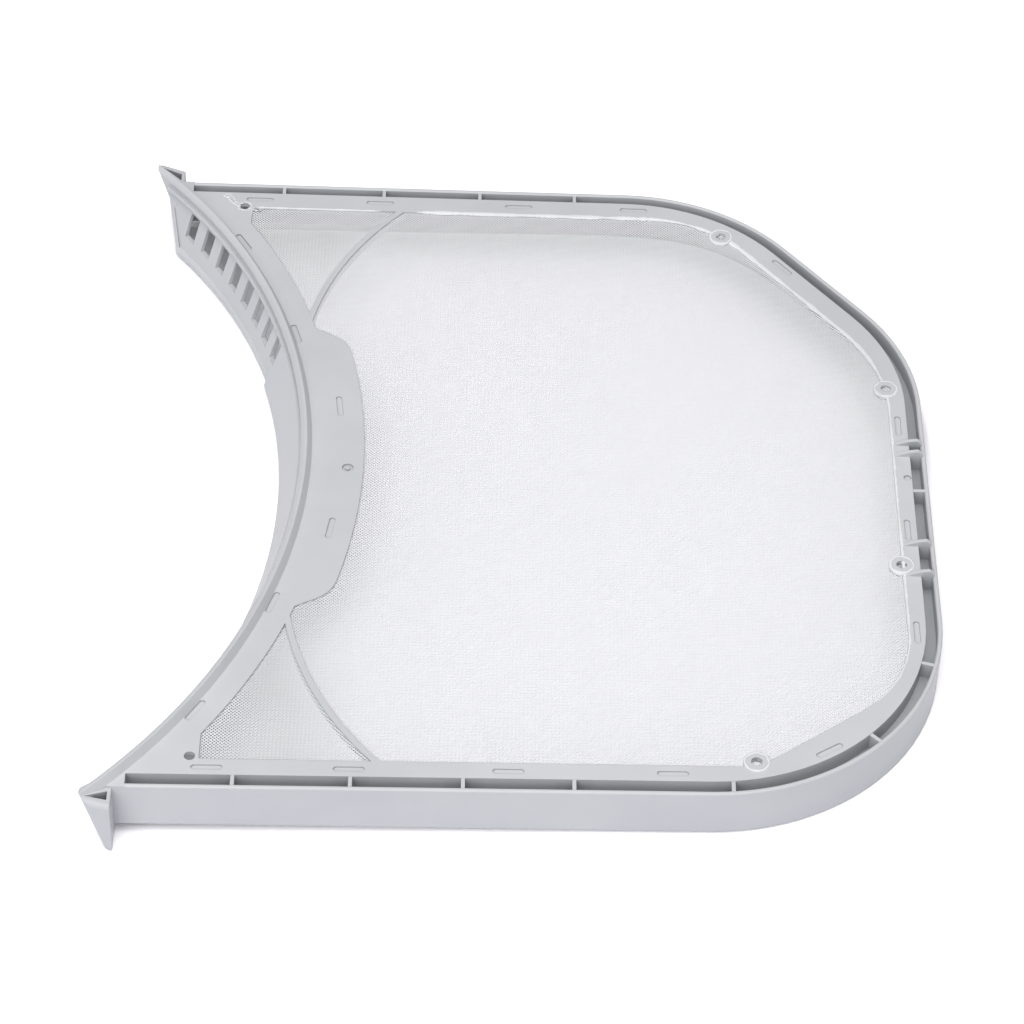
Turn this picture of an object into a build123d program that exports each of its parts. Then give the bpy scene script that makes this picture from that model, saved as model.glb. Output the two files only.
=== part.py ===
# Tumble dryer lint filter: one moulded frame with a woven screen moulded into its flange.
# Millimetres. +X runs from the handle to the end that goes into the slot first,
# +Y to the far side, +Z up through the face the lint gathers on.
# The origin is the middle of the bounding box, level with the tips of the claws.
import os
from math import asin, atan2, cos, degrees, radians, sin, sqrt, tan

from build123d import *

# Heights above the tips of the claws
flange_top = 24.3
flange_thick = 2.0
skirt_bottom = 4.7
channel_floor = 17.3
channel_floor_thick = 1.4
rib_drop = 0.3
ridge_rise = 3.0

# Rim outline: two slightly narrowing sides, a plain near corner and a sloping far corner
end_x = 154.4
open_x = -190.0
open_corner_radius = 1.0
half_width_open = 168.5
half_width_end = 164.9
near_corner_radius = 88.0
far_side_corner_x = 80.0
far_side_radius = 84.0
far_end_corner_y = 71.2
far_end_radius = 90.0

# Rim cross-section, measured inward from the outline
skirt_thick = 1.8
skirt_edge_cut = 0.5
channel_width = 4.4
channel_wall = 1.5
channel_setback = 4.5

# Thin ribs across the channel
channel_rib_thick = 1.4
channel_rib_x = (-101.4, -60.0, -20.3, 18.9)
near_extra_rib_x = 75.0
end_rib_y = -8.2
corner_rib_angles = (-44.8, -15.6)

# Flange widths from the outline to the panel that the screen fills
near_flange = 13.55
far_flange = 15.5
end_flange = 12.7

# Corners of the panel, with the radius of each corner
panel_corner_cut = 7.1
panel_start_radius = 1.0
near_bend_x = 84.4
near_bend_radius = 25.0
near_end_y = -109.9
near_end_radius = 50.0
far_end_y = 62.5
far_end_bend_radius = 74.0
far_bend_x = 72.5
far_bend_radius = 51.0

# Curved braces between the handle and the sides
brace_start_angle = 16.6
brace_middle = (-76.7, 115.0)
brace_end_x = -48.8
brace_width = 2.3
brace_deep = 4.2

# Handle: rings about the centre of the concave arc, which lies on the X axis
grip_x = -85.9
handle_radius = 250.4
ridge_width = 4.0
ridge_slope = 1.8
ridge_round = 2.4
face_top_drop = 1.0
face_lean = 9.4
face_bottom = 2.9
face_thick = 2.8
foot_thick = 4.6
lip_thick = 1.8
lip_set_in = 0.9
arc_flange_width = 13.4
lobe_depth = 24.1
lobe_half_angle = 14.8
lobe_foot_angle = 18.2
lobe_corner_radius = 14.0

# Recessed vent panels either side of the grip
recess_start_angle = 16.1
recess_top = 22.0
recess_top_depth = 1.6
recess_foot_depth = 2.4
recess_sill = 1.2
lip_set_back = 1.7
lip_flush_angle = 43.0
vent_count = 8
vent_first_angle = 17.45
vent_pitch_angle = 2.8
vent_width = 6.3
vent_low = 9.2
vent_high = 19.8

# Claws at the two ends of the handle
claw_length = 10.2
claw_proud = 8.7
claw_slant = 0.27
claw_top = 27.0
claw_fall = 3.9
claw_wall = 1.2
claw_side_wall = 3.4
claw_pocket_width = 4.1
claw_pocket_tip = (1.4, 2.8)
claw_pocket_floor = 5.0
claw_foot_radius = 1.6
claw_nose_radius = 4.22
claw_web = 1.8
claw_edge_radius = 2.0
face_end_setback = 3.3
face_end_slant = 0.187

# Catch ribs at the far end of the rim: points are given back and down from the tip
catch_y = (17.1, 11.0, -38.2, -54.2)
catch_thick = 1.5
catch_rise = 2.6
catch_reach = 10.0
catch_shoulder = (5.4, 0.7)
catch_nose = 1.4
catch_beak = (0.3, 0.8)

# Bosses and through holes left by the pins that held the screen in the mould
hole_radius = 2.0
boss_radius = 4.6
boss_rise = 0.3
near_boss_shift = (-0.9, 2.2)
far_boss_shift = (6.4, -10.4)
end_boss_inset = 13.2
end_boss_y = (48.9, -49.1)
corner_hole_shift = 3.2
corner_hole_inset = 14.9

# Round dimples in the end flange and in the thumb lobe, the second with a pip in its middle
dimple_radius = 1.5
dimple_deep = 0.9
lobe_dimple_radius = 2.2
pip_radius = 0.9
pip_drop = 0.2
end_dimple_inset = 7.9
end_dimple_y = -1.5
lobe_dimple_depth = 18.1
lobe_dimple_angle = -0.6

# Shallow oblong marks in the flange
mark_long = 11.2
mark_wide = 2.3
mark_deep = 0.7
mark_corner_cut = 0.7
near_mark_x = (-110.8, -60.6, -4.4, 53.7)
near_mark_inset = 9.7
far_mark_x = (-111.0, -61.4, -4.1, 43.3)
far_mark_inset = 10.2
end_mark_y = (-84.0, -30.2, 27.6)
end_mark_inset = 9.7
near_corner_mark_angle = -57.0
near_corner_mark_inset = 8.6
slope_mark_share = 0.59
slope_mark_inset = 9.0
ridge_mark_depth = 5.2
ridge_mark_angles = (-30.8, -17.3, 16.8, 30.5)
lobe_mark_depth = 15.4
lobe_mark_angles = (-7.8, 6.9)

# Woven screen, its fine gaps gathered into a coarse grid
screen_thick = 0.4
screen_embed = 2.0
grid_pitch = 32.0
grid_gap = 21.0
grid_count = (8, 10)
grid_margin = 1.5
smallest_gap = 60.0

# How far a rib is rooted in what carries it, and room for a cut to run past a face
rooted = 0.5
past = 5.0


def side_y(x):
    """Half width of the rim at a place along its straight sides."""
    share = (x - open_x) / (end_x - open_x)
    return half_width_open + (half_width_end - half_width_open) * share


# Values that follow from the sizes above
side_turn = degrees(atan2(half_width_open - half_width_end, end_x - open_x))
channel_in = skirt_thick + channel_width
arc_x = grip_x - handle_radius
ridge_radius = handle_radius + ridge_width
flange_radius = handle_radius + arc_flange_width
foot_radius = handle_radius - face_lean
lip_shift = lip_set_back / (cos(radians(recess_start_angle)) - cos(radians(lip_flush_angle)))
lip_radius = foot_radius - lip_shift * cos(radians(lip_flush_angle))
claw_end_y = half_width_open + claw_proud
nose_reach = sqrt((handle_radius + claw_nose_radius) ** 2 - (claw_end_y - claw_nose_radius) ** 2)
claw_tip_x = arc_x + nose_reach - claw_nose_radius
claw_back_x = claw_tip_x + claw_length
channel_start_x = claw_back_x + channel_setback
handle_end_angle = degrees(asin(claw_end_y / foot_radius))
panel_spans = ((recess_start_angle, handle_end_angle), (-handle_end_angle, -recess_start_angle))
handle_top = flange_top + ridge_rise
face_top = handle_top - face_top_drop
panel_side_y = side_y(channel_start_x) - far_flange
panel_start_x = arc_x + sqrt(flange_radius**2 - panel_side_y**2) + panel_corner_cut
near_bend = (near_bend_x, near_flange - side_y(near_bend_x))
far_bend = (far_bend_x, side_y(far_bend_x) - far_flange)
far_side_corner = (far_side_corner_x, side_y(far_side_corner_x))


def rounded_face(corners):
    """Closed outline through the corner points, each corner rounded by its own radius."""
    count = len(corners)
    tangents = []
    for i in range(count):
        x, y, radius = corners[i]
        x0, y0 = corners[i - 1][:2]
        x1, y1 = corners[(i + 1) % count][:2]
        way_in = Vector(x - x0, y - y0).normalized()
        way_out = Vector(x1 - x, y1 - y).normalized()
        turn = radians(way_in.get_angle(way_out))
        reach = radius * tan(turn / 2)
        inward = (way_out - way_in).normalized()
        sink = radius / cos(turn / 2) - radius
        here = Vector(x, y)
        tangents.append((here - way_in * reach, here + inward * sink, here + way_out * reach))
    edges = []
    for i in range(count):
        edges.append(Line(tangents[i - 1][2], tangents[i][0]))
        edges.append(ThreePointArc(*tangents[i]))
    return make_face(edges)


def rim_outline(inset):
    """Outline of the rim, moved inward by the inset."""
    outline = rounded_face(
        (
            (open_x, -half_width_open, open_corner_radius),
            (end_x, -half_width_end, near_corner_radius),
            (end_x, far_end_corner_y, far_end_radius),
            (*far_side_corner, far_side_radius),
            (open_x, half_width_open, open_corner_radius),
        )
    )
    if inset == 0:
        return outline
    return offset(outline, -inset, kind=Kind.INTERSECTION)


def plate(face, low, high):
    """Flat face raised to a plate between two heights."""
    return extrude(Pos(0, 0, low) * face, high - low, dir=(0, 0, 1))


def polar(radius, angle):
    """Point at a radius and an angle about the centre of the handle's arc."""
    return (arc_x + radius * cos(radians(angle)), radius * sin(radians(angle)))


def swept(profile, start, stop):
    """Flat profile of radius against height turned about the handle's arc between two angles."""
    ring = revolve(Plane.XZ * profile, Axis.Z, stop - start)
    return Pos(arc_x, 0, 0) * Rot(0, 0, start) * ring


def face_radius(height):
    """Radius of the handle's outer face at a height: the face leans out toward its foot."""
    share = (height - face_bottom) / (face_top - face_bottom)
    return foot_radius + face_lean * share


def arc_disc(radius):
    """Disc about the centre of the handle's arc."""
    return Pos(arc_x, 0) * Circle(radius)


def lobe_face():
    """Thumb lobe that widens the flange behind the grip."""
    foot = flange_radius - past
    crest = handle_radius + lobe_depth
    left = Line(polar(foot, -lobe_foot_angle), polar(crest, -lobe_half_angle))
    crown = ThreePointArc(left @ 1, polar(crest, 0), polar(crest, lobe_half_angle))
    right = Line(crown @ 1, polar(foot, lobe_foot_angle))
    heel = ThreePointArc(right @ 1, polar(foot, 0), left @ 0)
    face = make_face([left, crown, right, heel])
    return fillet(face.vertices().sort_by(Axis.X)[-2:], lobe_corner_radius)


def screen_face():
    """Everything the screen covers, the braces left out."""
    panel_end_x = end_x - end_flange
    panel = rounded_face(
        (
            (panel_start_x, near_flange - side_y(panel_start_x), panel_start_radius),
            (*near_bend, near_bend_radius),
            (panel_end_x, near_end_y, near_end_radius),
            (panel_end_x, far_end_y, far_end_bend_radius),
            (*far_bend, far_bend_radius),
            (panel_start_x, side_y(panel_start_x) - far_flange, panel_start_radius),
        )
    )
    return panel - arc_disc(flange_radius) - lobe_face()


def brace_face():
    """The two curved braces that cut the corner triangles from the main panel."""
    start = polar((ridge_radius + flange_radius) / 2, brace_start_angle)
    stop = (brace_end_x, side_y(brace_end_x) - (channel_in + far_flange) / 2)
    far = trace(ThreePointArc(start, brace_middle, stop), brace_width)
    return far + mirror(far, Plane.XZ)


def across_channel(x, y, turn):
    """Thin rib across the channel, its long way along the turn."""
    height = flange_top - rib_drop - channel_floor + rooted
    align = (Align.CENTER, Align.CENTER, Align.MAX)
    block = Box(channel_in, channel_rib_thick, height, align=align)
    return Pos(x, y, flange_top - rib_drop) * Rot(0, 0, turn) * block


def channel_ribs():
    """All the thin ribs across the channel, each in the middle of its width."""
    middle = skirt_thick + channel_width / 2
    near_y = middle - side_y(near_extra_rib_x)
    ribs = [
        across_channel(near_extra_rib_x, near_y, 90),
        across_channel(end_x - middle, end_rib_y, 0),
    ]
    for x in channel_rib_x:
        ribs.append(across_channel(x, side_y(x) - middle, 90))
        ribs.append(across_channel(x, middle - side_y(x), 90))
    for angle in corner_rib_angles:
        ribs.append(across_channel(*near_corner_point(angle, middle), angle))
    return ribs


def near_corner_point(angle, inset):
    """Point at an angle round the near corner, inward from the outline."""
    reach = near_corner_radius - inset
    x = end_x - near_corner_radius + reach * cos(radians(angle))
    y = near_corner_radius - half_width_end + reach * sin(radians(angle))
    return (x, y)


def rim():
    """Skirt, open channel with its cross ribs, and flange."""
    under = channel_floor - channel_floor_thick
    outer = rim_outline(0)
    inner = rim_outline(channel_in)
    inner_back = rim_outline(channel_in + channel_wall)
    body = plate(outer - rim_outline(skirt_thick), skirt_bottom, flange_top)
    body = chamfer(body.edges().group_by(Axis.Z)[-1], skirt_edge_cut)
    body += plate(outer - inner_back, under, channel_floor)
    body += plate(inner - inner_back, under, flange_top)
    flange = inner - screen_face() + brace_face() & inner
    body += plate(flange, flange_top - flange_thick, flange_top)
    body += plate(brace_face() & inner, flange_top - brace_deep, flange_top)
    start = Rectangle(channel_start_x - open_x, 2 * claw_end_y, align=(Align.MAX, Align.CENTER))
    body += plate((outer - inner) & Pos(channel_start_x, 0) * start, under, flange_top)
    return body + channel_ribs()


def catch_rib(y):
    """Claw-shaped rib over the channel that holds the filter's end in its slot."""
    tip = end_x - skirt_thick
    top = flange_top + catch_rise
    inner = tip - catch_reach
    wall = tip - channel_width - rooted
    floor = channel_floor - rooted
    shoulder = (tip - catch_shoulder[0], top - catch_shoulder[1])
    beak = (tip - catch_beak[0], top - catch_beak[1])
    front = (tip + rooted, flange_top - rib_drop)
    back = ThreePointArc((inner, flange_top), shoulder, (tip - catch_nose, top))
    nose = ThreePointArc(back @ 1, beak, front)
    rest = Polyline(
        front,
        (tip + rooted, floor),
        (wall, floor),
        (wall, flange_top - rooted),
        (inner, flange_top - rooted),
        back @ 0,
    )
    side = make_face([back, nose, rest])
    return Pos(0, y, 0) * extrude(Plane.XZ * side, catch_thick / 2, both=True)


def face_end_x(height):
    """Where the leaning plane that ends the handle's face stands at a height."""
    return claw_tip_x + face_end_setback + face_end_slant * (flange_top - height)


def slant_cut():
    """Everything handle-side of the leaning plane that ends the face."""
    low = -past
    high = handle_top + past
    side = Polyline(
        (arc_x, low),
        (face_end_x(low), low),
        (face_end_x(high), high),
        (arc_x, high),
        close=True,
    )
    return extrude(Plane.XZ * make_face(side), 2 * claw_end_y, both=True)


def vents():
    """Oblong openings through the recessed panels, all square to the face."""
    middle = (vent_low + vent_high) / 2
    block = Box(2 * face_lean, vent_width, vent_high - vent_low)
    cuts = []
    for i in range(vent_count):
        angle = vent_first_angle + i * vent_pitch_angle
        for turn in (angle, -angle):
            cuts.append(Pos(*polar(face_radius(middle), turn), middle) * Rot(0, 0, turn) * block)
    return cuts


def lip_room(start, stop):
    """Room in front of a vent panel's lip, deeper toward the grip."""
    high = face_bottom + recess_sill
    side = Polyline(
        (past, -past),
        (handle_radius, -past),
        (handle_radius, high),
        (past, high),
        close=True,
    )
    room = plate(Pos(arc_x + lip_shift, 0) * Circle(lip_radius), -past, high)
    return room & swept(make_face(side), start, stop)


def handle_face():
    """Leaning concave face with its lip, recessed vent panels and vents."""
    foot = face_bottom - lip_thick
    top = flange_top - flange_thick + rooted
    profile = Polyline(
        (foot_radius, face_bottom),
        (face_radius(top), top),
        (face_radius(top) + face_thick, top),
        (face_radius(foot) + foot_thick, foot),
        (face_radius(foot) + lip_set_in, foot),
        close=True,
    )
    wall = swept(make_face(profile), -handle_end_angle, handle_end_angle)
    recess = Polyline(
        (face_radius(recess_top) + recess_top_depth, recess_top),
        (foot_radius + recess_foot_depth, face_bottom + recess_sill),
        (foot_radius, face_bottom),
        (foot_radius - past, face_bottom),
        (foot_radius - past, recess_top),
        close=True,
    )
    for start, stop in panel_spans:
        wall -= swept(make_face(recess), start, stop)
        wall -= lip_room(start, stop)
    wall -= slant_cut()
    return wall - vents()


def ridge():
    """Raised bead along the top of the handle, rounded over its crown."""
    low = flange_top - flange_thick
    profile = make_face(
        Polyline(
            (face_radius(low), low),
            (ridge_radius, low),
            (ridge_radius, flange_top),
            (ridge_radius - ridge_slope, handle_top),
            (face_radius(handle_top), handle_top),
            close=True,
        )
    )
    front = profile.vertices().group_by(Axis.Y)[-1].sort_by(Axis.X)[0]
    return swept(fillet(front, ridge_round), -handle_end_angle, handle_end_angle)


def nose_room():
    """Leaning room with two rounded noses that the claws and the ridge's ends keep to."""
    low = -past
    rise = handle_top + past - low
    block = Rectangle(end_x - arc_x, 2 * claw_end_y, align=(Align.MIN, Align.CENTER))
    plan = Pos(arc_x, 0) * block - arc_disc(handle_radius)
    plan = fillet(plan.vertices().group_by(Axis.X)[0], claw_nose_radius)
    foot = Pos(claw_slant * (flange_top - low), 0, low) * plan
    return Solid.extrude(foot.face(), Vector(-claw_slant * rise, 0, rise))


def claw():
    """Hollow wedge at the far end of the handle, standing proud of the rim's side."""
    root_y = side_y(claw_back_x) - skirt_thick
    left = claw_tip_x - rooted
    side = Polyline(
        (left + claw_slant * flange_top, 0),
        (claw_back_x, 0),
        (claw_back_x, claw_top - claw_fall),
        (left - claw_slant * (claw_top - flange_top), claw_top),
        close=True,
    )
    face = make_face(side)
    face = fillet(face.vertices().group_by(Axis.Y)[0], claw_foot_radius)
    wedge = Pos(0, claw_end_y, 0) * extrude(Plane.XZ * face, claw_end_y - root_y)
    outer_edge = wedge.edges().group_by(Axis.Y)[-1].sort_by(Axis.Z)[-1]
    wedge = fillet(outer_edge, claw_edge_radius)
    back = claw_back_x - claw_wall
    outer = claw_end_y - claw_side_wall
    pocket = Polyline(
        (claw_tip_x + claw_pocket_tip[0], claw_end_y - claw_pocket_tip[1]),
        (back, outer - claw_pocket_width),
        (back, outer),
        close=True,
    )
    return wedge - plate(make_face(pocket), claw_pocket_floor, handle_top)


def claw_web_plate():
    """Plate that closes the gap between the end of the handle's face and the far claw."""
    low = face_bottom
    high = flange_top - rooted
    side = Polyline(
        (face_end_x(low), low),
        (face_end_x(low) + claw_web, low),
        (face_end_x(high) + claw_web, high),
        (face_end_x(high), high),
        close=True,
    )
    root_y = side_y(claw_back_x)
    reach = root_y - foot_radius * sin(radians(handle_end_angle / 2))
    return Pos(0, root_y, 0) * extrude(Plane.XZ * make_face(side), reach)


def handle_room():
    """Open space in front of the handle, back to the middle of its leaning face."""
    high = flange_top + past
    sink = face_thick / 2
    profile = Polyline(
        (past, -past),
        (face_radius(-past) + sink, -past),
        (face_radius(high) + sink, high),
        (past, high),
        close=True,
    )
    return swept(make_face(profile), -handle_end_angle, handle_end_angle)


def oblong(x, y, turn):
    """Shallow oblong mark let into the top of the flange."""
    shape = Rectangle(mark_long, mark_wide)
    shape = chamfer(shape.vertices(), mark_corner_cut)
    return plate(Pos(x, y) * Rot(0, 0, turn) * shape, flange_top - mark_deep, flange_top + past)


def flange_marks():
    """The marks along the two sides, the end, the near corner and the far slope."""
    cuts = []
    for x in near_mark_x:
        cuts.append(oblong(x, near_mark_inset - side_y(x), side_turn))
    for x in far_mark_x:
        cuts.append(oblong(x, side_y(x) - far_mark_inset, -side_turn))
    for y in end_mark_y:
        cuts.append(oblong(end_x - end_mark_inset, y, 90))
    corner = near_corner_point(near_corner_mark_angle, near_corner_mark_inset)
    cuts.append(oblong(*corner, near_corner_mark_angle + 90))
    slope = Line((end_x, far_end_corner_y), far_side_corner)
    along = slope % slope_mark_share
    place = slope @ slope_mark_share + Vector(-along.Y, along.X) * slope_mark_inset
    cuts.append(oblong(place.X, place.Y, degrees(atan2(along.Y, along.X))))
    return cuts


def handle_marks():
    """The marks behind the ridge, half under it, and the two on the thumb lobe."""
    cuts = []
    for angle in ridge_mark_angles:
        place = polar(handle_radius + ridge_mark_depth, angle)
        cuts.append(oblong(*place, angle + 90) - ridge())
    for angle in lobe_mark_angles:
        cuts.append(oblong(*polar(handle_radius + lobe_mark_depth, angle), angle + 90))
    return cuts


def pin(x, y, radius, low, high):
    """Upright round pin between two heights."""
    return plate(Pos(x, y) * Circle(radius), low, high)


def boss_places():
    """Centres of the four raised bosses round the panel."""
    places = [
        (near_bend[0] + near_boss_shift[0], near_bend[1] + near_boss_shift[1]),
        (far_bend[0] + far_boss_shift[0], far_bend[1] + far_boss_shift[1]),
    ]
    for y in end_boss_y:
        places.append((end_x - end_boss_inset, y))
    return places


def hole_pins():
    """The through holes of the bosses and of the two handle corners."""
    x = panel_start_x - corner_hole_shift
    y = side_y(x) - corner_hole_inset
    places = boss_places() + [(x, y), (x, -y)]
    return Part() + [pin(*place, hole_radius, skirt_bottom, flange_top + past) for place in places]


def dimples():
    """The round dimples of the end flange and the thumb lobe."""
    lobe = polar(handle_radius + lobe_dimple_depth, lobe_dimple_angle)
    low = flange_top - dimple_deep
    high = flange_top + past
    end = pin(end_x - end_dimple_inset, end_dimple_y, dimple_radius, low, high)
    pip = pin(*lobe, pip_radius, low, flange_top - pip_drop)
    return [end, pin(*lobe, lobe_dimple_radius, low, high) - pip]


def screen_gaps():
    """Square gaps of the screen, cut short where they would meet the flange or a brace."""
    middle_x = (panel_start_x + end_x - end_flange) / 2
    middle_y = (near_flange - far_flange) / 2
    grid = Pos(middle_x, middle_y) * GridLocations(grid_pitch, grid_pitch, *grid_count)
    cells = Sketch() + [place * Rectangle(grid_gap, grid_gap) for place in grid]
    gaps = []
    for panel in (screen_face() - brace_face()).faces():
        pieces = (offset(panel, -grid_margin) & cells).faces()
        gaps += [piece for piece in pieces if piece.area > smallest_gap]
    return gaps


def screen():
    """The woven screen as one sheet with its gaps, its edge inside the flange."""
    middle = flange_top - flange_thick / 2
    sheet = offset(screen_face(), screen_embed, kind=Kind.INTERSECTION) - screen_gaps()
    return plate(sheet, middle - screen_thick / 2, middle + screen_thick / 2) - hole_pins()


def frame(sheet):
    """The whole moulding, with room in its flange for the edge of the screen."""
    web = claw_web_plate()
    body = rim() + web + mirror(web, Plane.XZ)
    body -= handle_room()
    body -= slant_cut()
    body += handle_face()
    body += (ridge() + claw() + mirror(claw(), Plane.XZ)) & nose_room()
    body += [catch_rib(y) for y in catch_y]
    boss_low = flange_top - flange_thick
    body += [pin(*place, boss_radius, boss_low, flange_top + boss_rise) for place in boss_places()]
    body -= flange_marks()
    body -= handle_marks()
    body -= dimples()
    return body - hole_pins() - sheet


os.makedirs("parts", exist_ok=True)
lint_screen = screen()
filter_frame = frame(lint_screen)
export_step(filter_frame, "parts/filter_frame.step")
export_step(lint_screen, "parts/lint_screen.step")
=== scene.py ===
import math

import bpy
import numpy as np
from mathutils import Matrix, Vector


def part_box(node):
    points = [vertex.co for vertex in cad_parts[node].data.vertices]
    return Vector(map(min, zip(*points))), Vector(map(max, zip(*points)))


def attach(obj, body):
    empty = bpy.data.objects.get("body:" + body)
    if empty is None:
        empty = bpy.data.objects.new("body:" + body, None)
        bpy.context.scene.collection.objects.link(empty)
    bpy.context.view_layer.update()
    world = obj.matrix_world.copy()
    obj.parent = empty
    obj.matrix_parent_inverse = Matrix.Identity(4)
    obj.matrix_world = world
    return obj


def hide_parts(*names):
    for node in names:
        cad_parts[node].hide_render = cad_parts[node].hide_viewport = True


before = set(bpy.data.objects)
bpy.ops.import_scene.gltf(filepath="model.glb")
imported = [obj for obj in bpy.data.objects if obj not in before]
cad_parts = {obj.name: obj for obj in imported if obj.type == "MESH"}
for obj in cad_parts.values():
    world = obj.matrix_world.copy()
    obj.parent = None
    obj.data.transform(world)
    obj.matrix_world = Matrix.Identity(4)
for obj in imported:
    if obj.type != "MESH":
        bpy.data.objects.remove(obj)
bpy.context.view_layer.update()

# Frame: one injection moulding in light grey polypropylene, with the rim channel, the flange, the
# braces and the vented concave handle all out of one tool. The cavity was spark-eroded, so the skin
# is satin. A painted highlight makes its thin edges a little paler than the walls, and a painted
# shade greys its narrow gaps.

MM = 0.001


def linear(hex_colour):
    """An sRGB hex colour as linear RGBA: a straight foot where it is dark, and a power above it."""
    srgb = np.array([int(hex_colour[i:i + 2], 16) for i in (1, 3, 5)]) / 255
    rgb = np.where(srgb <= 0.04045, srgb / 12.92, ((srgb + 0.055) / 1.055) ** 2.4)
    return (*rgb.tolist(), 1.0)


def add_node(tree, kind, settings=None, sockets=None):
    """Adds a node, sets its properties, and gives each socket a value or a link, (node, output)."""
    made = tree.nodes.new(kind)
    for name, value in (settings or {}).items():
        setattr(made, name, value)
    for key, value in (sockets or {}).items():
        if isinstance(value, tuple) and isinstance(value[0], bpy.types.Node):
            tree.links.new(value[0].outputs[value[1]], made.inputs[key])
        else:
            made.inputs[key].default_value = value
    return made


def ramp(tree, value, begin, end, low=0.0, high=1.0):
    """A link that goes from low to high as the value goes from begin to end."""
    sockets = {"Value": value, "From Min": begin, "From Max": end, "To Min": low, "To Max": high}
    return add_node(tree, "ShaderNodeMapRange", None, sockets), 0


def blend(tree, share, first, second):
    """A link to a colour between two others. A Mix node's colours are 6 and 7 in, and 2 out."""
    sockets = {0: share, 6: first, 7: second}
    return add_node(tree, "ShaderNodeMix", {"data_type": "RGBA"}, sockets), 2


def new_material(name):
    """An empty node material and its tree."""
    made = bpy.data.materials.new(name)
    made.use_nodes = True
    made.node_tree.nodes.clear()
    return made, made.node_tree


# Satin polypropylene: an even pale grey with a faint bluish cast, soft flow clouds some centimetres
# wide, a painted highlight on the edges, a painted shade in narrow gaps, and an eroded grain that
# breaks up the gloss. The grain of about 0.2 mm is drawn at 0.5 mm so that it shows.
FLOW_CLOUD = 45 * MM
EDGE_ROUND = 0.35 * MM
EDGE_HIGHLIGHT_MOST = 0.6
GAP_SHADE_REACH = 7 * MM
GAP_SHADE_GREY = "#77797D"
GAP_SHADE_MOST = 0.6
ERODED_GRAIN = 0.5 * MM
GRAIN_DEPTH = 0.03 * MM
POLYPROPYLENE_IOR = 1.49


def polypropylene(name, grey, cloud, edge_highlight):
    """Satin moulded plastic from the greys of its body, of its flow clouds and of the painted
    highlight on its edges, with a painted shade in its narrow gaps.
    """
    made, tree = new_material(name)
    place = add_node(tree, "ShaderNodeTexCoord")
    clouds = add_node(tree, "ShaderNodeTexNoise", None, {
        "Vector": (place, "Object"), "Scale": 1 / FLOW_CLOUD, "Detail": 3.0, "Roughness": 0.55})
    cloud_share = ramp(tree, (clouds, 0), 0.38, 0.68)
    body = blend(tree, cloud_share, linear(grey), linear(cloud))

    # Painted highlight: the colour turns paler where the bevelled normal leans away from the flat
    # one, as where light catches a rounded edge.
    rounded = add_node(tree, "ShaderNodeBevel", {"samples": 6}, {"Radius": EDGE_ROUND})
    flat = add_node(tree, "ShaderNodeNewGeometry")
    turn = add_node(tree, "ShaderNodeVectorMath", {"operation": "DOT_PRODUCT"},
                    {0: (rounded, 0), 1: (flat, "Normal")})
    edge_highlight_share = ramp(tree, (turn, "Value"), 0.985, 0.75, 0.0, EDGE_HIGHLIGHT_MOST)
    edge_highlighted = blend(tree, edge_highlight_share, body, linear(edge_highlight))

    # Painted shade: the colour turns greyer where the part shelters itself within the reach, as
    # shade falls in narrow gaps.
    shelter = add_node(tree, "ShaderNodeAmbientOcclusion", {"samples": 6, "only_local": True},
                       {"Distance": GAP_SHADE_REACH})
    gap_shade_share = ramp(tree, (shelter, "AO"), 0.62, 0.15, 0.0, GAP_SHADE_MOST)
    colour = blend(tree, gap_shade_share, edge_highlighted, linear(GAP_SHADE_GREY))

    grain = add_node(tree, "ShaderNodeTexNoise", None, {
        "Vector": (place, "Object"), "Scale": 1 / ERODED_GRAIN, "Detail": 2.0})
    relief = add_node(tree, "ShaderNodeBump", None, {
        "Strength": 0.25, "Distance": GRAIN_DEPTH, "Height": (grain, 0), "Normal": (rounded, 0)})
    gloss = ramp(tree, (clouds, 0), 0.3, 0.7, 0.40, 0.50)
    skin = add_node(tree, "ShaderNodeBsdfPrincipled", None, {
        "Base Color": colour, "Roughness": gloss, "IOR": POLYPROPYLENE_IOR, "Normal": (relief, 0)})
    add_node(tree, "ShaderNodeOutputMaterial", None, {"Surface": (skin, 0)})
    return made


# The last grey is the painted highlight on the frame's edges.
plastic = polypropylene("moulded_polypropylene", "#C7C8CC", "#CDCED1", "#E4E5E8")
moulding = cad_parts["filter_frame"]
moulding.data.materials.clear()
moulding.data.materials.append(plastic)


# Screen: a plain weave of white polyester thread, laid flat in the mould so that the flange and the
# two braces set round its edge and hold it stretched. It was cut on the bias, so warp and weft run
# at 45 degrees.

BIAS = math.radians(45)
THREAD_PITCH = 1.0 * MM
THREAD_THICK = 0.38 * MM
THREAD_STEP = 12 * MM
LAYER_APART = 0.12 * MM
FLAT_WITHIN = 0.01 * MM
MICRONS = 1e6
MOST_CROSSINGS = 16


def mesh_arrays(node):
    """A node's points (n, 3) and triangles (m, 3)."""
    mesh = node.data
    mesh.calc_loop_triangles()
    points = np.empty(3 * len(mesh.vertices), np.float32)
    mesh.vertices.foreach_get("co", points)
    corners = np.empty(3 * len(mesh.loop_triangles), np.int32)
    mesh.loop_triangles.foreach_get("vertices", corners)
    return points.reshape(-1, 3).astype(float), corners.reshape(-1, 3)


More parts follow.
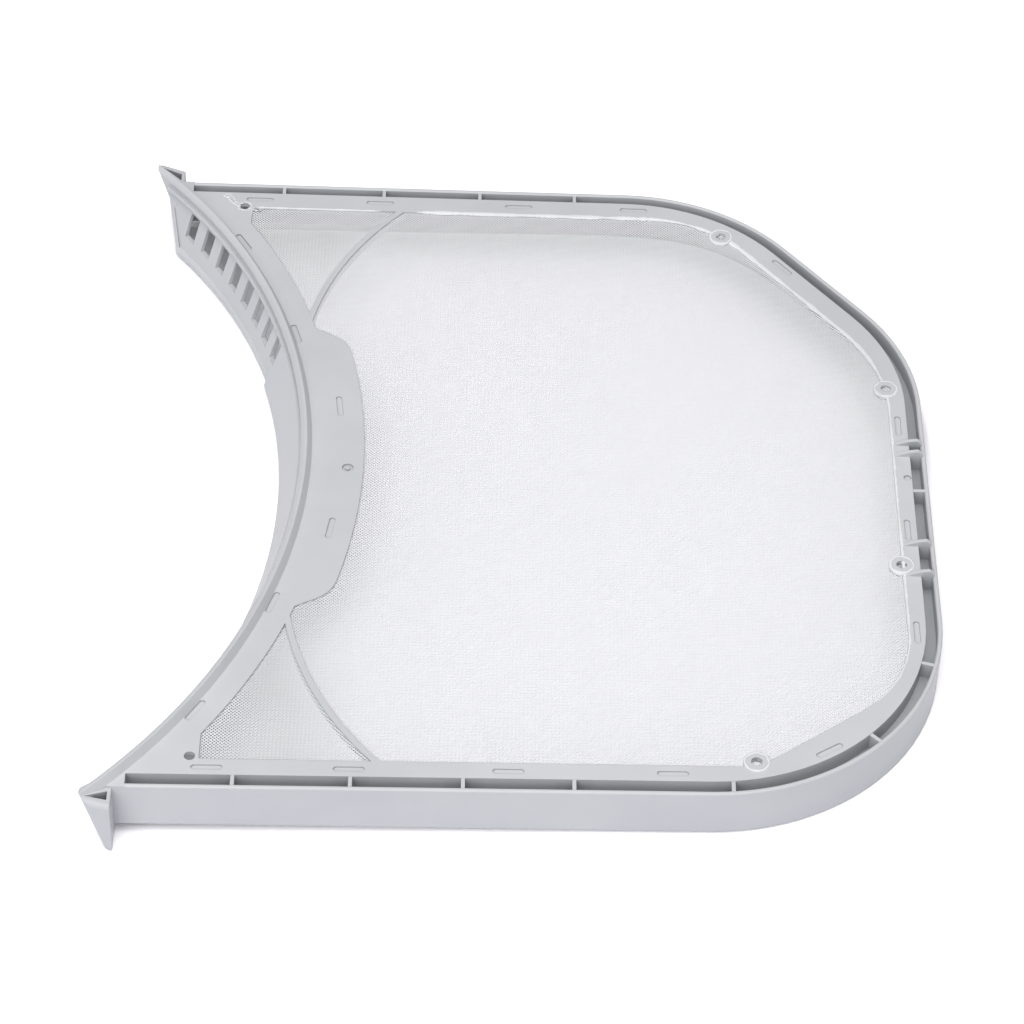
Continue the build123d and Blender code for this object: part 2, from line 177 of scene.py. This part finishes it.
def outlines(node, height):
    """The loops round a node's flat face at a height, each as plan points in order. An edge of the
    face's triangles with no twin the other way is on a loop, and steps along the loop, doubled each
    time, order it."""
    points, corners = mesh_arrays(node)
    corners = corners[(np.abs(points[corners, 2] - height) < FLAT_WITHIN).all(1)]
    plan, which = np.unique(np.round(points[:, :2] * MICRONS), axis=0, return_inverse=True)
    edges = which.reshape(-1)[corners[:, [[0, 1], [1, 2], [2, 0]]]].reshape(-1, 2)
    same_way = edges[:, 0] * len(plan) + edges[:, 1]
    other_way = edges[:, 1] * len(plan) + edges[:, 0]
    rim = edges[~np.isin(same_way, other_way)]
    follow = np.arange(len(plan))
    follow[rim[:, 0]] = rim[:, 1]
    left = np.unique(rim[:, 0])
    loops = []
    while len(left):
        order, jump = left[:1], follow
        while not (order[1:] == order[0]).any():
            order, jump = np.concatenate([order, jump[order]]), jump[jump]
        order = order[:np.argmax(order[1:] == order[0]) + 1]
        loops.append(plan[order] / MICRONS)
        left = np.setdiff1d(left, order)
    return loops


def runs_inside(border, places, across):
    """Lines at these places, cut by the outline: its crossings in order, in pairs, are where a run
    begins and ends. Gives each run's place, begin and end; across is the axis of the places."""
    begin, step = border[:, 0], border[:, 1] - border[:, 0]
    gap = places[:, None] - begin[:, across]
    hit = (gap >= 0) != (gap >= step[:, across])
    share = gap / np.where(hit, step[:, across], 1.0)
    at = np.where(hit, begin[:, 1 - across] + share * step[:, 1 - across], np.inf)
    pairs = np.sort(at, axis=1)[:, :MOST_CROSSINGS].reshape(len(places), -1, 2)
    line, run = np.nonzero(np.isfinite(pairs[..., 1]))
    return line, pairs[line, run, 0], pairs[line, run, 1]


def laid_threads(border, across, middle_z):
    """Threads of one direction, laid along an axis of the turned weave: each run is a straight bar
    in short steps whose section is a square on its corner, closed at both ends. Gives points (n, 3),
    quads, and a uv of the place across the thread and the crossings along it, counted from one more
    on every second thread."""
    turn = np.array([[math.cos(BIAS), -math.sin(BIAS)], [math.sin(BIAS), math.cos(BIAS)]])
    border = border @ turn
    low, high = border[..., across].min(), border[..., across].max()
    number = np.arange(math.ceil(low / THREAD_PITCH), math.floor(high / THREAD_PITCH) + 1)
    line, begin, end = runs_inside(border, number * THREAD_PITCH, across)
    steps = np.ceil((end - begin) / THREAD_STEP).astype(int)
    first = np.concatenate([[0], np.cumsum(steps + 1)[:-1]])
    run = np.repeat(np.arange(len(line)), steps + 1)
    step = np.arange(len(run)) - first[run]
    along = begin[run] + (end - begin)[run] * step / steps[run]
    side = np.array([-1.0, 0.0, 1.0, 0.0]) * THREAD_THICK / 2
    rise = np.array([0.0, -1.0, 0.0, 1.0]) * THREAD_THICK / 2
    points = np.empty((len(run), 4, 3))
    points[..., 1 - across] = along[:, None]
    points[..., across] = (number[line[run]] * THREAD_PITCH)[:, None] + side
    points[..., 2] = middle_z + rise
    points[..., :2] = points[..., :2] @ turn.T
    walls = np.array([[k, (k + 1) % 4, 4 + (k + 1) % 4, 4 + k] for k in range(4)])
    ring = np.flatnonzero(step < steps[run])
    quads = np.concatenate([
        (4 * ring[:, None, None] + walls).reshape(-1, 4),
        4 * first[:, None] + np.array([3, 2, 1, 0]),
        4 * (first + steps)[:, None] + np.array([0, 1, 2, 3]),
    ])
    if across == 0:
        quads = quads[:, ::-1]
    uv = np.empty((len(run), 4, 2))
    uv[..., 0] = np.array([0.0, 0.5, 1.0, 0.5])
    uv[..., 1] = (along / THREAD_PITCH + number[line[run]])[:, None]
    return points.reshape(-1, 3), quads, uv.reshape(-1, 2)


def mesh_piece(name, points, faces, uv=None, smooth=True):
    """A mesh object at the origin from points (n, 3) and faces of one size (m, k), with uv per
    point."""
    mesh = bpy.data.meshes.new(name)
    size = faces.shape[1]
    mesh.vertices.add(len(points))
    mesh.vertices.foreach_set("co", points.astype(np.float32).ravel())
    mesh.loops.add(faces.size)
    mesh.loops.foreach_set("vertex_index", faces.astype(np.int32).ravel())
    mesh.polygons.add(len(faces))
    mesh.polygons.foreach_set("loop_start", np.arange(0, faces.size, size, dtype=np.int32))
    mesh.polygons.foreach_set("use_smooth", np.full(len(faces), smooth))
    if uv is not None:
        layer = mesh.uv_layers.new(name="thread")
        layer.data.foreach_set("uv", uv[faces.ravel()].astype(np.float32).ravel())
    mesh.update(calc_edges=True)
    mesh.validate()
    made = bpy.data.objects.new(name, mesh)
    bpy.context.scene.collection.objects.link(made)
    return made


def breadth(loop):
    """The longer side of a loop's box in plan."""
    return np.ptp(loop, axis=0).max()


# The weave ends at the sheet's widest loop and round the holes that the mould pins left in the four
# bosses. The square gaps of the plain sheet are left out, because the threads run across them.
BOSS_TOP = 24.6 * MM
HOLE_BELOW = 6 * MM
sheet_low, sheet_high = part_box("lint_screen")
sheet_middle = (sheet_low.z + sheet_high.z) / 2
sheet_loop = max(outlines(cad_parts["lint_screen"], sheet_high.z), key=breadth)
boss_loops = outlines(moulding, BOSS_TOP)
boss_holes = [loop for loop in boss_loops if breadth(loop) < HOLE_BELOW]
border = np.concatenate([np.stack([loop, np.roll(loop, -1, axis=0)], axis=1)
                         for loop in [sheet_loop, *boss_holes]])
warp_points, warp_quads, warp_uv = laid_threads(border, 1, sheet_middle + LAYER_APART / 2)
weft_points, weft_quads, weft_uv = laid_threads(border, 0, sheet_middle - LAYER_APART / 2)
screen = mesh_piece(
    "woven_screen",
    np.concatenate([warp_points, weft_points]),
    np.concatenate([warp_quads, weft_quads + len(warp_points)]),
    np.concatenate([warp_uv, weft_uv]),
    smooth=False,
)

# Polyester monofilament: white and slightly glossy, with a painted shade that makes it a little
# darker where a thread dips under another. Its pitch was set by the dots in the photograph, and the
# real thread may be finer.
THREAD_OVER = "#F7F7F8"
THREAD_UNDER_SHADE = "#E9E9EC"
DIP_DEPTH = 0.1 * MM
POLYESTER_IOR = 1.58

polyester, thread_tree = new_material("polyester_monofilament")
strand = add_node(thread_tree, "ShaderNodeUVMap", {"uv_map": "thread"})
crossings = add_node(thread_tree, "ShaderNodeSeparateXYZ", None, {0: (strand, 0)})
dip = add_node(thread_tree, "ShaderNodeMath", {"operation": "PINGPONG"},
               {0: (crossings, 1), 1: 1.0})
# Painted shade: each thread is darker where it dips under a crossing thread.
white = blend(thread_tree, (dip, 0), linear(THREAD_OVER), linear(THREAD_UNDER_SHADE))
relief = add_node(thread_tree, "ShaderNodeBump", None,
                  {"Strength": 0.5, "Distance": DIP_DEPTH, "Height": (dip, 0)})
skin = add_node(thread_tree, "ShaderNodeBsdfPrincipled", None, {
    "Base Color": white, "Roughness": 0.45, "IOR": POLYESTER_IOR, "Normal": (relief, 0)})
add_node(thread_tree, "ShaderNodeOutputMaterial", None, {"Surface": (skin, 0)})
screen.data.materials.append(polyester)

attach(screen, "root")
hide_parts("lint_screen")


# Flash: where the screen was laid in the mould the plastic crept out over the weave, so a thin
# ragged skin of paler plastic follows the flange's inner edge and rings the pin bosses. It is one
# with the frame.

FLANGE_TOP = 24.3 * MM
WALK = 0.6 * MM
FEWEST_STEPS = 12
FILM_SHOWS = 0.2 * MM
FILM_SINKS = 0.25 * MM
FILM_RETREATS = 0.2 * MM
FILM_THICK = 0.1 * MM
FILM_LIP = 0.12 * MM
FILM_HEEL = 0.3 * MM
OVER_WEAVE = 0.03 * MM
HEEL_LOW, HEEL_HIGH, LIP_DROP = 0.15 * MM, 0.1 * MM, 0.05 * MM
rough = np.random.default_rng(11)


def ragged(count, reach):
    """Smooth random shares from 0 to 1 round a closed walk: noise averaged over this many steps."""
    bell = np.hanning(2 * reach + 1)
    raw = rough.random(count)
    wave = np.convolve(np.concatenate([raw[-reach:], raw, raw[:reach]]), bell / bell.sum(), "valid")
    return (wave - wave.min()) / np.ptp(wave)


def walk_round(loop):
    """A closed loop walked in even steps: its points and the unit ways to the right of each step."""
    closed = np.concatenate([loop, loop[:1]])
    length = np.concatenate([[0.0], np.cumsum(np.hypot(*np.diff(closed, axis=0).T))])
    steps = max(int(length[-1] / WALK), FEWEST_STEPS)
    at = np.linspace(0.0, length[-1], steps, endpoint=False)
    points = np.column_stack([np.interp(at, length, closed[:, k]) for k in (0, 1)])
    way = np.roll(points, -2, axis=0) - np.roll(points, 2, axis=0)
    way /= np.linalg.norm(way, axis=1)[:, None]
    return points, np.column_stack([way[:, 1], -way[:, 0]])


def closed_tube(sections):
    """Sections (n, k, 3) along a closed walk joined into one closed tube: its points and quads."""
    count, size = sections.shape[:2]
    i, k = np.meshgrid(np.arange(count), np.arange(size), indexing="ij")
    j, m = (i + 1) % count, (k + 1) % size
    quads = np.stack([i * size + k, i * size + m, j * size + m, j * size + k], axis=-1)
    return sections.reshape(-1, 3), quads.reshape(-1, 4)


def skirt_of_flash(points, inward, width, top):
    """A closed strip over an edge: a film on the plastic, as wide as the width, that rounds the edge
    and runs down to the weave by about half as much again. Where the width is nought it is all
    inside the plastic."""
    shows = np.clip(width / FILM_SHOWS, 0.0, 1.0)
    hides = 1 - shows
    sunk = top - FILM_SINKS * hides
    heel = -width - FILM_HEEL
    toe = 0.6 * width - FILM_RETREATS * hides
    lip = FILM_LIP * shows - FILM_RETREATS * hides
    crest = -0.5 * width - FILM_SINKS * hides
    corners = (
        (heel, sunk - HEEL_LOW),
        (toe, sheet_high.z + OVER_WEAVE),
        (lip, sunk - LIP_DROP),
        (crest, sunk + FILM_THICK * shows),
        (heel, sunk - HEEL_HIGH),
    )
    sections = np.empty((len(points), len(corners), 3))
    for k, (reach, height) in enumerate(corners):
        sections[:, k, :2] = points + inward * reach[:, None]
        sections[:, k, 2] = height
    return closed_tube(sections)


def rises(value, begin, over):
    """A share that goes from 0 at a beginning to 1 over a length."""
    return np.clip((value - begin) / over, 0.0, 1.0)


# The panel's edge is the sheet's edge less the 2 mm that sit in the flange. The plastic crept out
# along the far side, the slope and the end, a little along the far corner panel, and nowhere else.
SHEET_IN_FLANGE = 2.0 * MM
FAR_SIDE_Y = 147 * MM
MAIN_PANEL_X = -47 * MM
CORNER_PANEL_X = -60 * MM
SLOPE_X = 62 * MM
NEAR_CORNER_Y = -125 * MM
END_X = 136 * MM
CORNER_CREEP, END_HELD_BACK = 0.4, 0.4
LEAST, NICKED, BROAD = 0.15, 1.3, 1.0

sheet_edge, outward = walk_round(sheet_loop)
panel_edge = sheet_edge - SHEET_IN_FLANGE * outward
edge_x, edge_y = panel_edge.T
far_side = rises(edge_y, FAR_SIDE_Y, 3 * MM)
main_panel = rises(edge_x, MAIN_PANEL_X, 5 * MM)
corner_panel = CORNER_CREEP * rises(-edge_x, -CORNER_PANEL_X, 5 * MM)
slope_and_end = rises(edge_x, SLOPE_X, 15 * MM) * rises(edge_y, NEAR_CORNER_Y, 40 * MM)
end_share = 1 - END_HELD_BACK * rises(edge_x, END_X, 3 * MM)
creep = np.maximum(far_side * np.maximum(main_panel, corner_panel), slope_and_end * end_share)
nicks, bites, waves = (ragged(len(panel_edge), reach) for reach in (1, 5, 8))
width = creep * (LEAST + NICKED * nicks * bites + BROAD * waves) * MM
tubes = [skirt_of_flash(panel_edge, -outward, width, FLANGE_TOP)]

# The rings round the four bosses, each from the outline of the boss's top.
BOSS_ABOVE = 8 * MM
for loop in boss_loops:
    if breadth(loop) > BOSS_ABOVE:
        boss_edge, outward = walk_round(loop)
        width = (0.25 + 0.7 * ragged(len(boss_edge), 3)) * MM
        tubes.append(skirt_of_flash(boss_edge, outward, width, BOSS_TOP))

# Ragged crumbs left lying round the far corner's pin hole and on the flange beside it. Each has its
# place east and north of the hole, half its width and length, all in mm, and its turn in degrees.
CRUMBS = (
    (0.0, 0.0, 2.6, 2.6, 0),
    (-3.6, 1.6, 0.9, 1.7, -30),
    (-5.7, 4.3, 1.0, 2.0, -60),
    (-7.4, 6.6, 1.0, 1.6, 20),
    (4.6, -1.7, 1.0, 2.1, -25),
)
CRUMB_STEPS = 60
CRUMB_FOOT = -0.1 * MM


def ragged_bead(middle, across, along, turn):
    """A low bead on the flange round an oval, its width and height uneven."""
    angle = np.linspace(0.0, 2 * math.pi, CRUMB_STEPS, endpoint=False)
    oval = np.column_stack([np.cos(angle) * along, np.sin(angle) * across])
    oval *= (0.75 + 0.5 * ragged(CRUMB_STEPS, 2))[:, None]
    out = oval / np.linalg.norm(oval, axis=1)[:, None]
    tilt = np.array([[math.cos(turn), math.sin(turn)], [-math.sin(turn), math.cos(turn)]])
    half = (0.2 + 0.6 * ragged(CRUMB_STEPS, 1)) * MM
    corners = ((-half, CRUMB_FOOT), (half, CRUMB_FOOT), (0 * half, 0.5 * half))
    sections = np.empty((CRUMB_STEPS, len(corners), 3))
    for k, (reach, height) in enumerate(corners):
        sections[:, k, :2] = middle + (oval + out * reach[:, None]) @ tilt
        sections[:, k, 2] = FLANGE_TOP + height
    return closed_tube(sections)


flange_holes = [loop for loop in outlines(moulding, FLANGE_TOP) if breadth(loop) < HOLE_BELOW]
hole_middles = np.array([(loop.min(0) + loop.max(0)) / 2 for loop in flange_holes])
corner_hole = hole_middles[np.argmax(hole_middles[:, 1] - hole_middles[:, 0])]
for east, north, across, along, turn in CRUMBS:
    middle = corner_hole + np.array([east, north]) * MM
    tubes.append(ragged_bead(middle, across * MM, along * MM, math.radians(turn)))

starts = np.cumsum([0] + [len(points) for points, quads in tubes])
flash = mesh_piece(
    "flange_flash",
    np.concatenate([points for points, quads in tubes]),
    np.concatenate([quads + start for (points, quads), start in zip(tubes, starts)]),
    smooth=False,
)
# The last grey is the painted highlight on the flash's edges.
thin_plastic = polypropylene("thin_polypropylene_flash", "#E4E5E8", "#EDEEF0", "#F2F3F4")
flash.data.materials.append(thin_plastic)
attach(flash, "root")


# Stage: a white table under the tips of the two claws and the lower edge of the end skirt, a broad
# lamp overhead and a smaller one in front in a dim room, and the camera where the photograph was
# taken from.

CLAW_TIP_X = -145 * MM
END_SKIRT_X = 154 * MM
END_SKIRT_Z = 4.7 * MM
TABLE_HALF = 3.0
TABLE_CLEAR = 0.05 * MM

slope = END_SKIRT_Z / (END_SKIRT_X - CLAW_TIP_X)
corner = TABLE_HALF * np.array([[-1, -1], [1, -1], [1, 1], [-1, 1]])
table = mesh_piece(
    "white_table",
    np.column_stack([corner, slope * (corner[:, 0] - CLAW_TIP_X) - TABLE_CLEAR]),
    np.array([[0, 1, 2, 3]]),
)

# White laminate: it keeps the shadows, and to the camera the open table is lifted to white. A shade
# painted on it matches the grey floor that the photograph shows through the weave: under the two
# corner panels, along the inside of the far rim, and darkest in a strip just behind that rim. From
# other sides the strip looks like a contact shadow.
TABLE_WHITE = "#E3E4EB"
CAMERA_GAIN, SHADED_GAIN = 1.37, 0.42
CAMERA_TINT = (1.0, 0.985, 1.01)

laminate, laminate_tree = new_material("white_laminate")
place = add_node(laminate_tree, "ShaderNodeTexCoord")
plan = add_node(laminate_tree, "ShaderNodeSeparateXYZ", None, {0: (place, "Object")})
table_x, table_y = (plan, 0), (plan, 1)


def sums(kind, first, second=0.0, third=0.0):
    """A math node of this kind in the laminate, on links or values."""
    sockets = {0: first, 1: second, 2: third}
    return add_node(laminate_tree, "ShaderNodeMath", {"operation": kind}, sockets), 0


def share(value, begin, end):
    """A share of the laminate that goes from 0 to 1 as the value goes from begin to end."""
    return ramp(laminate_tree, value, begin, end)


# How far a place is past the rim's far side, its slope or its end, with the two corners rounded.
FAR_RIM, SLOPE_RIM, END_RIM = 166.5 * MM, 165.4 * MM, 154.4 * MM
FAR_NARROWS = 0.0105
SLOPE_WAY = (0.786, 0.619)
SLOPE_ROUND, END_ROUND = 50 * MM, 30 * MM
past_far = sums("SUBTRACT", sums("MULTIPLY_ADD", table_x, FAR_NARROWS, table_y), FAR_RIM)
up_slope = sums("MULTIPLY_ADD", table_x, SLOPE_WAY[0], sums("MULTIPLY", table_y, SLOPE_WAY[1]))
past = sums("SMOOTH_MAX", past_far, sums("SUBTRACT", up_slope, SLOPE_RIM), SLOPE_ROUND)
past = sums("SMOOTH_MAX", past, sums("SUBTRACT", table_x, END_RIM), END_ROUND)

# The strip behind the rim and a weak shade inside it, both only on the far half.
INSIDE_SHADE = 0.22
INSIDE_FROM, STRIP_FROM, STRIP_FULL = -35 * MM, -2 * MM, -0.5 * MM
FAR_HALF_FROM, FAR_HALF_FULL = 10 * MM, 60 * MM
inside = sums("MULTIPLY", share(past, INSIDE_FROM, STRIP_FROM), INSIDE_SHADE)
strip = sums("MAXIMUM", inside, share(past, STRIP_FROM, STRIP_FULL))
strip = sums("MULTIPLY", strip, share(table_y, FAR_HALF_FROM, FAR_HALF_FULL))

# The corner panels. The floor seen through a place on the screen lies 22 mm behind it.
SEEN_BEHIND = 22 * MM
PANEL_SHADE = 0.52
off_middle = sums("ABSOLUTE", sums("SUBTRACT", table_y, SEEN_BEHIND))
panel = sums("MULTIPLY", share(table_x, -58 * MM, -84 * MM), share(off_middle, 85 * MM, 125 * MM))
panel = sums("MULTIPLY", panel, share(off_middle, 164 * MM, 156 * MM))
shade = sums("MAXIMUM", strip, sums("MULTIPLY", panel, PANEL_SHADE))

# The shade ends before the handle's leaning sides, and a few millimetres past the rim.
HANDLE_BEND_Y, HANDLE_LEANS = 100 * MM, 0.45
HANDLE_END, HANDLE_FULL = -116 * MM, -106 * MM
SHADE_END, SHADE_FULL = 6 * MM, 2.5 * MM
past_bend = sums("SUBTRACT", sums("ABSOLUTE", table_y), HANDLE_BEND_Y)
handle_side = sums("MULTIPLY_ADD", past_bend, HANDLE_LEANS, table_x)
shade = sums("MULTIPLY", shade, share(handle_side, HANDLE_END, HANDLE_FULL))
shade = sums("MULTIPLY", shade, share(past, SHADE_END, SHADE_FULL))

gain = ramp(laminate_tree, shade, 0.0, 1.0, CAMERA_GAIN, SHADED_GAIN)
tint = add_node(laminate_tree, "ShaderNodeVectorMath", {"operation": "MULTIPLY"},
                {0: gain, 1: CAMERA_TINT})
path = add_node(laminate_tree, "ShaderNodeLightPath")
seen = sums("MAXIMUM", (path, "Is Camera Ray"), (path, "Is Glossy Ray"))
seen = sums("MAXIMUM", seen, (path, "Is Transmission Ray"))
lit = add_node(laminate_tree, "ShaderNodeBsdfDiffuse", None, {"Color": linear(TABLE_WHITE)})
lifted = add_node(laminate_tree, "ShaderNodeBsdfDiffuse", None, {"Color": (tint, 0)})
top = add_node(laminate_tree, "ShaderNodeMixShader", None, {0: seen, 1: (lit, 0), 2: (lifted, 0)})
add_node(laminate_tree, "ShaderNodeOutputMaterial", None, {"Surface": (top, 0)})
table.data.materials.append(laminate)

# A dim white room, so that the shadows stay soft.
ROOM_STRENGTH = 0.20
world = bpy.data.worlds.new("soft_room")
world.use_nodes = True
world.node_tree.nodes.clear()
room = add_node(world.node_tree, "ShaderNodeBackground", None,
                {"Color": linear("#FFFFFF"), "Strength": ROOM_STRENGTH})
add_node(world.node_tree, "ShaderNodeOutputWorld", None, {"Surface": (room, 0)})
bpy.context.scene.world = world


def softbox(name, at, wide, deep, watts):
    """A rectangular lamp at a place, turned to face the origin."""
    lamp = bpy.data.lights.new(name, "AREA")
    lamp.shape = "RECTANGLE"
    lamp.size = wide
    lamp.size_y = deep
    lamp.energy = watts
    made = bpy.data.objects.new(name, lamp)
    made.location = at
    tip = math.atan2(math.hypot(at[0], at[1]), at[2])
    made.rotation_euler = (tip, 0.0, math.atan2(at[0], -at[1]))
    bpy.context.scene.collection.objects.link(made)


softbox("overhead_softbox", at=(0.0, -0.45, 2.2), wide=2.6, deep=2.4, watts=49.2)
softbox("front_softbox", at=(-0.8, -1.75, 1.3), wide=1.8, deep=1.2, watts=18.0)

# The lens and place were found by fitting the frame's straight sides and arc to the photograph.
CAMERA_AT = np.array([-11.51, -1031.73, 996.19]) * MM
CAMERA_DOWN = math.radians(44.0)
CAMERA_YAW = math.radians(0.386)
CAMERA_ROLL = math.radians(1.556)
CAMERA_LENS = 130.07
CAMERA_SENSOR = 36.0

lens = bpy.data.cameras.new("camera")
lens.sensor_width = CAMERA_SENSOR
lens.lens = CAMERA_LENS
lens.clip_end = 50.0
camera = bpy.data.objects.new("camera", lens)
aim = np.array([math.sin(CAMERA_YAW) * math.cos(CAMERA_DOWN),
                math.cos(CAMERA_YAW) * math.cos(CAMERA_DOWN), -math.sin(CAMERA_DOWN)])
level = np.array([math.cos(CAMERA_YAW), -math.sin(CAMERA_YAW), 0.0])
rise = np.cross(level, aim)
right = level * math.cos(CAMERA_ROLL) + rise * math.sin(CAMERA_ROLL)
upward = rise * math.cos(CAMERA_ROLL) - level * math.sin(CAMERA_ROLL)
pose = np.eye(4)
pose[:3, :3] = np.column_stack([right, upward, -aim])
pose[:3, 3] = CAMERA_AT
camera.matrix_world = Matrix(pose.tolist())
bpy.context.scene.collection.objects.link(camera)
bpy.context.scene.camera = camera
bpy.context.scene.view_settings.view_transform = "Standard"
